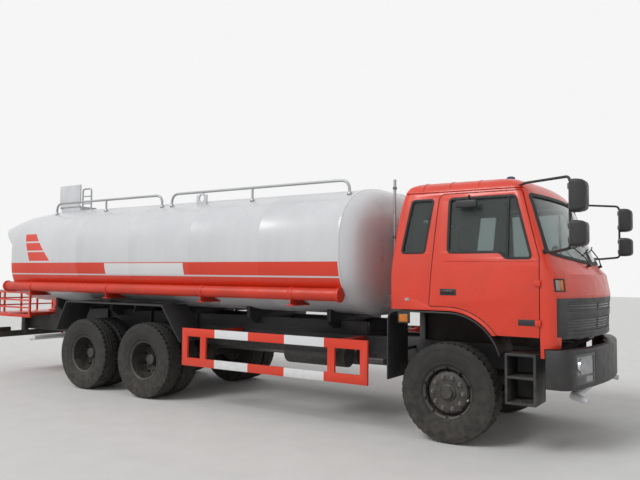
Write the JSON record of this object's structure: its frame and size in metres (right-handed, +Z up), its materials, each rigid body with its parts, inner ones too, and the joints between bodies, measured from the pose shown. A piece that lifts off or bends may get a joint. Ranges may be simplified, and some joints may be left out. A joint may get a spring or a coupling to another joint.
{
  "type": "water tanker truck",
  "caption": "Water tanker truck with tilting cab, opening doors and tank hatch, steered and rolling wheels, oval tank and a swivelling water cannon on a railed rear platform.",
  "frame": {"origin": "on the ground, under the middle of the truck's bounding box", "axes": "+X forward to the cab, +Y to the truck's left, +Z up"},
  "size_m": [10.025, 3.09, 3.298],
  "materials": {
    "red_paint": "gloss",
    "white_paint": "gloss",
    "frame_black": "satin",
    "black_plastic": "matte",
    "tyre_rubber": "matte",
    "rim_paint": "satin",
    "cast_iron": "rough",
    "glass": "clear",
    "lamp_clear": "clear",
    "lamp_amber": "gloss",
    "lamp_dark": "gloss",
    "seat_cloth": "woven",
    "bare_steel": "brushed"
  },
  "bodies": {
    "chassis": {"frame": "frame_black", "front_axle": "cast_iron", "axle_mid": "cast_iron", "axle_rear": "cast_iron", "bogie_springs": "cast_iron", "engine": "cast_iron", "prop_shaft_front": "bare_steel", "prop_shaft_rear": "bare_steel", "fuel_tank": "bare_steel", "air_tanks": "frame_black", "tank": "white_paint", "cradle": "frame_black", "hose_tube_right": "red_paint", "hose_tube_left": "red_paint", "side_guard_right": "red_paint", "side_guard_left": "red_paint", "tandem_mudguard_right": "frame_black", "tandem_mudguard_left": "frame_black", "platform": "red_paint", "cannon_pedestal": "red_paint", "underrun_bar": "frame_black", "rear_spray_pipes": "white_paint", "front_spray_bar": "white_paint", "bumper": "black_plastic", "headlamp_right": "lamp_clear", "headlamp_left": "lamp_clear", "step_right": "frame_black", "step_left": "frame_black", "front_mudguard_right": "black_plastic", "front_mudguard_left": "black_plastic"},
    "cab": {"cab_shell": "red_paint", "quarter_glass_right": "glass", "quarter_glass_left": "glass", "windscreen": "glass", "back_glass": "glass", "grille_panel": "black_plastic", "turn_lamp_right": "lamp_amber", "turn_lamp_left": "lamp_amber", "dashboard": "black_plastic", "seats": "seat_cloth", "mirror_right": "black_plastic", "mirror_left": "black_plastic", "beacon": "lamp_dark"},
    "door_right": {"door_right": "red_paint", "door_glass_right": "glass"},
    "knuckle_right": {"knuckle_right": "cast_iron"},
    "wheel_front_right": {"tyre_front_right": "tyre_rubber", "rim_front_right": "rim_paint"},
    "wheel_mid_right": {"twin_wheel_mid_right": "tyre_rubber"},
    "wheel_rear_right": {"twin_wheel_rear_right": "tyre_rubber"},
    "door_left": {"door_left": "red_paint", "door_glass_left": "glass"},
    "knuckle_left": {"knuckle_left": "cast_iron"},
    "wheel_front_left": {"tyre_front_left": "tyre_rubber", "rim_front_left": "rim_paint"},
    "wheel_mid_left": {"twin_wheel_mid_left": "tyre_rubber"},
    "wheel_rear_left": {"twin_wheel_rear_left": "tyre_rubber"},
    "hatch_lid": {"hatch_lid": "white_paint"},
    "cannon_yoke": {"cannon_yoke": "red_paint"},
    "cannon_barrel": {"cannon_barrel": "red_paint"}
  },
  "joints": [
    {"name": "cab_tilt", "type": "hinge", "parent": "chassis", "child": "cab", "pos_m": [4.8375, 0, 1.14], "axis": [0, 1, 0], "range_deg": [0, 50]},
    {"name": "door_right_hinge", "type": "hinge", "parent": "cab", "child": "door_right", "pos_m": [4.5225, -1.203, 1.772], "axis": [0, 0, 1], "range_deg": [0, 70]},
    {"name": "door_left_hinge", "type": "hinge", "parent": "cab", "child": "door_left", "pos_m": [4.5225, 1.203, 1.772], "axis": [0, 0, -1], "range_deg": [0, 70]},
    {"name": "steer_right", "type": "hinge", "parent": "chassis", "child": "knuckle_right", "pos_m": [3.5375, -0.755, 0.52496], "axis": [0, 0, 1], "range_deg": [-35, 35]},
    {"name": "steer_left", "type": "hinge", "parent": "chassis", "child": "knuckle_left", "pos_m": [3.5375, 0.755, 0.52496], "axis": [0, 0, 1], "range_deg": [-35, 35]},
    {"name": "spin_front_right", "type": "hinge", "parent": "knuckle_right", "child": "wheel_front_right", "pos_m": [3.5375, -0.955, 0.52496], "axis": [0, 1, 0], "continuous": true},
    {"name": "spin_front_left", "type": "hinge", "parent": "knuckle_left", "child": "wheel_front_left", "pos_m": [3.5375, 0.955, 0.52496], "axis": [0, 1, 0], "continuous": true},
    {"name": "spin_mid_right", "type": "hinge", "parent": "chassis", "child": "wheel_mid_right", "pos_m": [-0.9125, -0.915, 0.52496], "axis": [0, 1, 0], "continuous": true},
    {"name": "spin_mid_left", "type": "hinge", "parent": "chassis", "child": "wheel_mid_left", "pos_m": [-0.9125, 0.915, 0.52496], "axis": [0, 1, 0], "continuous": true},
    {"name": "spin_rear_right", "type": "hinge", "parent": "chassis", "child": "wheel_rear_right", "pos_m": [-2.2125, -0.915, 0.52496], "axis": [0, 1, 0], "continuous": true},
    {"name": "spin_rear_left", "type": "hinge", "parent": "chassis", "child": "wheel_rear_left", "pos_m": [-2.2125, 0.915, 0.52496], "axis": [0, 1, 0], "continuous": true},
    {"name": "hatch_hinge", "type": "hinge", "parent": "chassis", "child": "hatch_lid", "pos_m": [-3.6025, -0.285, 2.928], "axis": [-1, 0, 0], "range_deg": [-15, 85]},
    {"name": "cannon_pan", "type": "hinge", "parent": "chassis", "child": "cannon_yoke", "pos_m": [-4.5625, 0, 1.55], "axis": [0, 0, 1], "range_deg": [-160, 160]},
    {"name": "cannon_tilt", "type": "hinge", "parent": "cannon_yoke", "child": "cannon_barrel", "pos_m": [-4.5625, 0, 1.7703], "axis": [0, 1, 0], "range_deg": [-15, 60]}
  ],
  "couplings": [
    {"joint": "steer_left", "follows": "steer_right", "ratio": 1}
  ]
}
